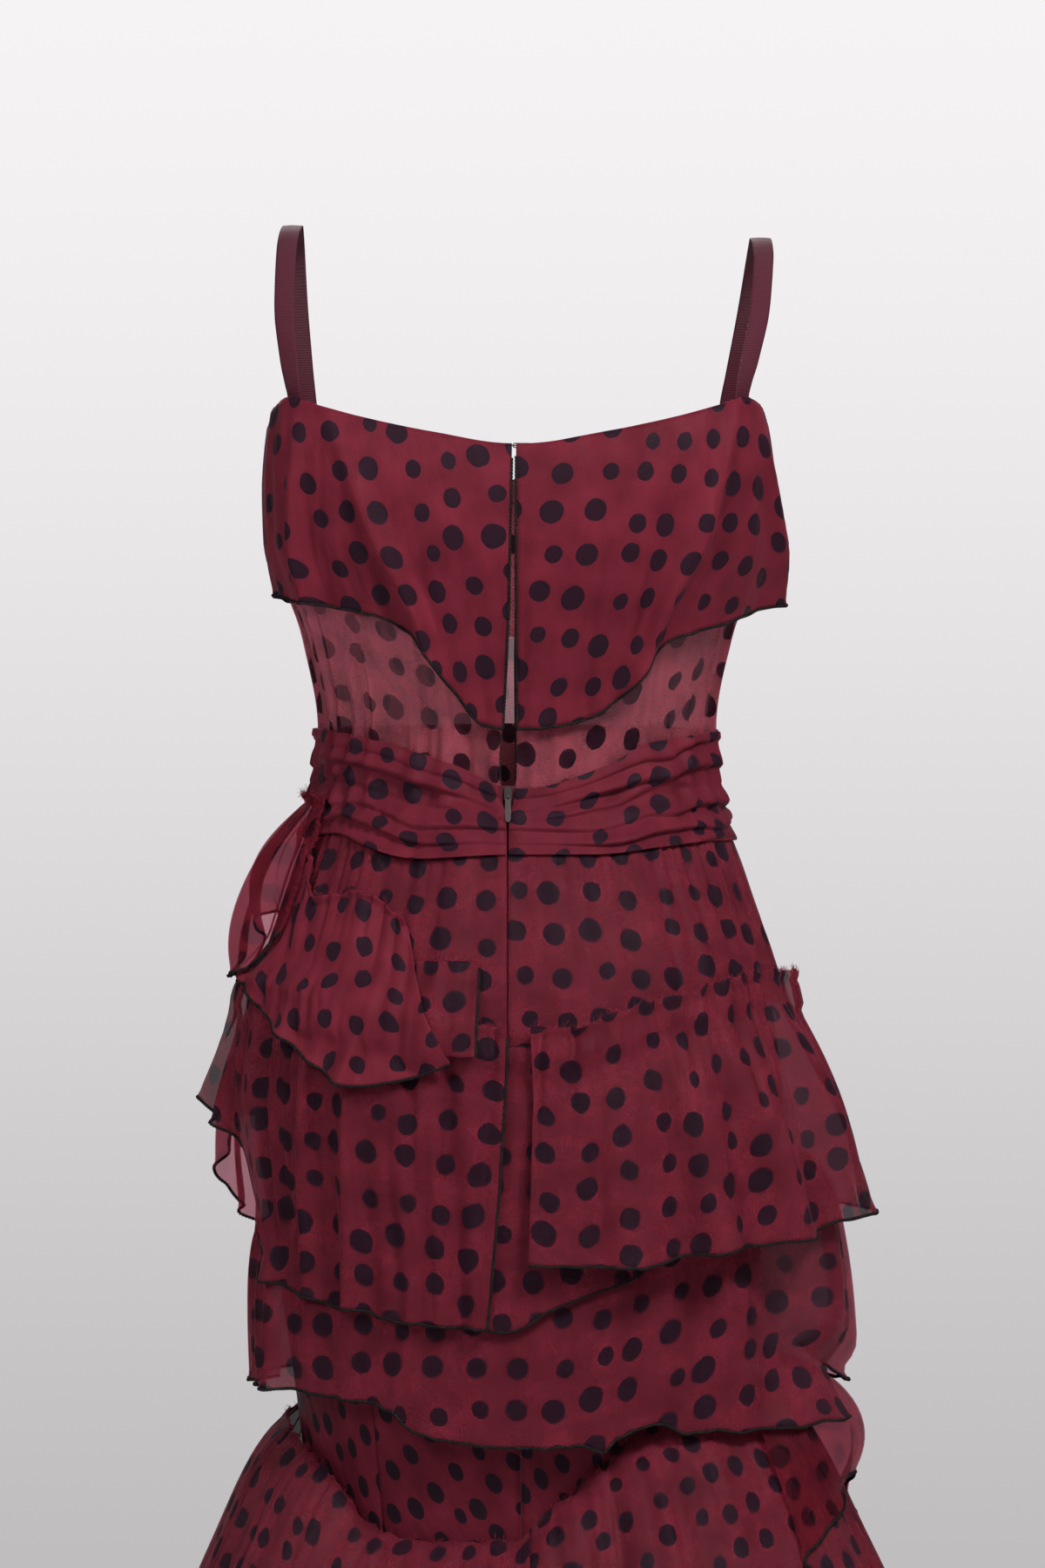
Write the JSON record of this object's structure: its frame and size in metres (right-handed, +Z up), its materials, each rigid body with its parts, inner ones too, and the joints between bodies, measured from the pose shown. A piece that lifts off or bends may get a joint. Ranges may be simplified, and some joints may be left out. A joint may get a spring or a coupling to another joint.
{
  "type": "evening gown",
  "caption": "Hollow floor-length strap gown with a neckline flounce, a pleated sash, gathered tiers of polka-dotted chiffon and a zip at the back.",
  "frame": {"origin": "between the two shoulder straps, level with the top of the higher strap, where the wearer's shoulders hold the gown", "axes": "+Z up, +Y out of the gown's back, +X to the wearer's left"},
  "size_m": [0.6826, 0.5689, 1.3007],
  "materials": {
    "chiffon": "sheer, soft sheen, polka dots",
    "metal": "polished",
    "ribbon": "ribbed, satin",
    "sheath": "polka-dotted chiffon over a dark ground",
    "tape": "woven"
  },
  "bodies": {
    "root": {"bodice_back_left": "chiffon", "bodice_back_right": "chiffon", "bodice_front": "chiffon", "eye": "metal", "hip_drape": "chiffon", "hip_drape_under": "chiffon", "hip_frill": "chiffon", "hook": "metal", "lower_flounce_front": "chiffon", "lower_flounce_left": "chiffon", "lower_flounce_right": "chiffon", "neck_flounce_back_left": "chiffon", "neck_flounce_back_right": "chiffon", "neck_flounce_front": "chiffon", "overskirt_back_left": "chiffon", "overskirt_back_right": "chiffon", "overskirt_front": "chiffon", "sash_back_left": "chiffon", "sash_back_right": "chiffon", "sash_front": "chiffon", "sheath_back_left": "sheath", "sheath_back_right": "sheath", "sheath_front": "sheath", "sheath_side_left": "sheath", "sheath_side_right": "sheath", "strap_left": "ribbon", "strap_right": "ribbon", "tier1_centre": "chiffon", "tier1_front": "chiffon", "tier1_left": "chiffon", "tier1_right": "chiffon", "tier2_back": "chiffon", "tier2_front": "chiffon", "tier3_front": "chiffon", "zip_slider": "metal", "zip_tape": "tape"},
    "zip_pull": {"zip_pull": "metal"}
  },
  "joints": [
    {"name": "pull_swing", "type": "hinge", "parent": "root", "child": "zip_pull", "pos_m": [0.006, 0.0791, -0.3445], "axis": [1, 0, 0], "range_deg": [0, 150]}
  ]
}
